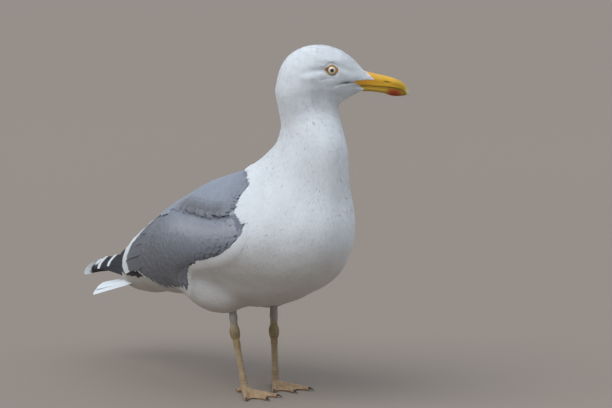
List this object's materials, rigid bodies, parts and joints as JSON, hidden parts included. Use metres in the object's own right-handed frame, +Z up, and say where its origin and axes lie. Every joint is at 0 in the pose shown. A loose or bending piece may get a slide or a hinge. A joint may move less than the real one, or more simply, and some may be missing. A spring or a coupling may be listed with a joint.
{
  "type": "herring gull",
  "caption": "Adult gull standing at rest, wings folded, head turned to its left, hooked yellow bill, webbed feet flat on the floor, as a still life-size model.",
  "frame": {"origin": "middle of the bird's overall box, on the floor it stands on", "axes": "+Z up, -Y the way the breast and toes point, +X the bird's left; the head is turned 52 degrees to its left"},
  "size_m": [0.1562, 0.442, 0.3582],
  "materials": {
    "body_white": "soft matt white plumage over the flesh of head, neck and trunk",
    "feather_white": "matt white feathers of the rump, tail coverts and tail",
    "mantle_grey": "matt blue-grey vane feathers with fine barbs and pale fringes",
    "primary_black": "satin black flight feathers with white tips",
    "bill_horn": "satin yellow horn with a red-orange spot near the tip of the lower half and a paler tip",
    "eye": "wet gloss, pale cream iris with a black pupil",
    "leg_skin": "dull flesh to olive scaled skin, slightly glossy",
    "claw_horn": "satin dark horn"
  },
  "bodies": {
    "root": {"wing_R": "mantle_grey", "wing_L": "mantle_grey", "primaries_R": "primary_black", "primaries_L": "primary_black", "tail": "feather_white", "trunk": "body_white", "rump": "feather_white", "neck": "body_white", "head": "body_white", "bill_upper": "bill_horn", "bill_lower": "bill_horn", "eye_R": "eye", "eye_L": "eye", "shank_R": "leg_skin", "tarsus_R": "leg_skin", "foot_R": "leg_skin", "claw_R_middle": "claw_horn", "claw_R_inner": "claw_horn", "claw_R_outer": "claw_horn", "claw_R_hind": "claw_horn", "shank_L": "leg_skin", "tarsus_L": "leg_skin", "foot_L": "leg_skin", "claw_L_middle": "claw_horn", "claw_L_inner": "claw_horn", "claw_L_outer": "claw_horn", "claw_L_hind": "claw_horn"}
  },
  "joints": []
}
